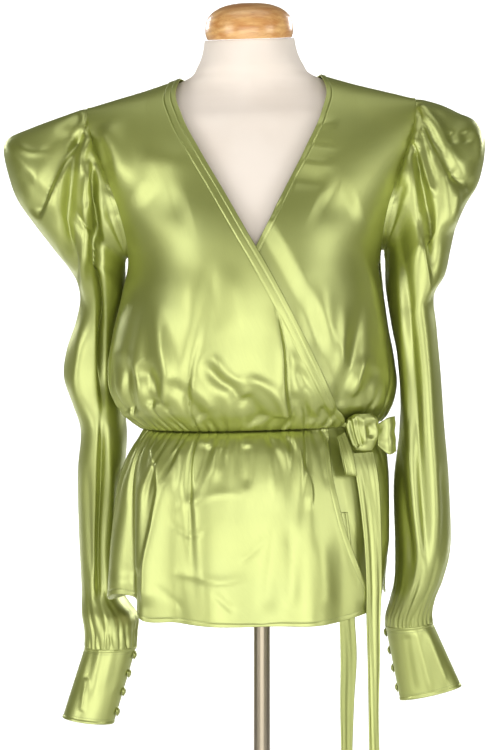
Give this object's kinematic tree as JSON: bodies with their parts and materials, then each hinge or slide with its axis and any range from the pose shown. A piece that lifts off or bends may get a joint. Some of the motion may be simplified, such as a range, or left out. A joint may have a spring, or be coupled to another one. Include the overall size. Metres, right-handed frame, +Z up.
{
  "type": "long-sleeve wrap blouse on a dress form",
  "caption": "Satin surplice blouse with winged shoulders, balloon sleeves, deep buttoned cuffs, gathered waist, peplum and side tie, standing on a limbless dress form.",
  "frame": {"origin": "centre of the underside of the stand's base, on the pole's axis", "axes": "+Z up the pole; -Y towards the front of the blouse; +X towards the wearer's left"},
  "size_m": [0.575, 0.33, 1.5],
  "materials": {
    "satin": "lime green satin",
    "form_cloth": "cream cloth, smooth",
    "varnished_wood": "varnished",
    "brushed_steel": "brushed"
  },
  "bodies": {
    "root": {"bodice_right_front": "satin", "bodice_left_front": "satin", "bodice_back": "satin", "peplum_right_front": "satin", "peplum_left_front": "satin", "peplum_back": "satin", "right_sleeve": "satin", "left_sleeve": "satin", "right_cuff": "satin", "left_cuff": "satin", "right_cuff_button_1": "satin", "right_cuff_button_2": "satin", "right_cuff_button_3": "satin", "right_cuff_button_4": "satin", "left_cuff_button_1": "satin", "left_cuff_button_2": "satin", "left_cuff_button_3": "satin", "left_cuff_button_4": "satin", "tie_knot": "satin", "tie_loop_lower": "satin", "tie_loop_side": "satin", "tie_tail_front": "satin", "tie_tail_back": "satin", "form_torso": "form_cloth", "form_neck_cap": "varnished_wood", "form_pole": "brushed_steel", "form_base": "brushed_steel"}
  },
  "joints": []
}
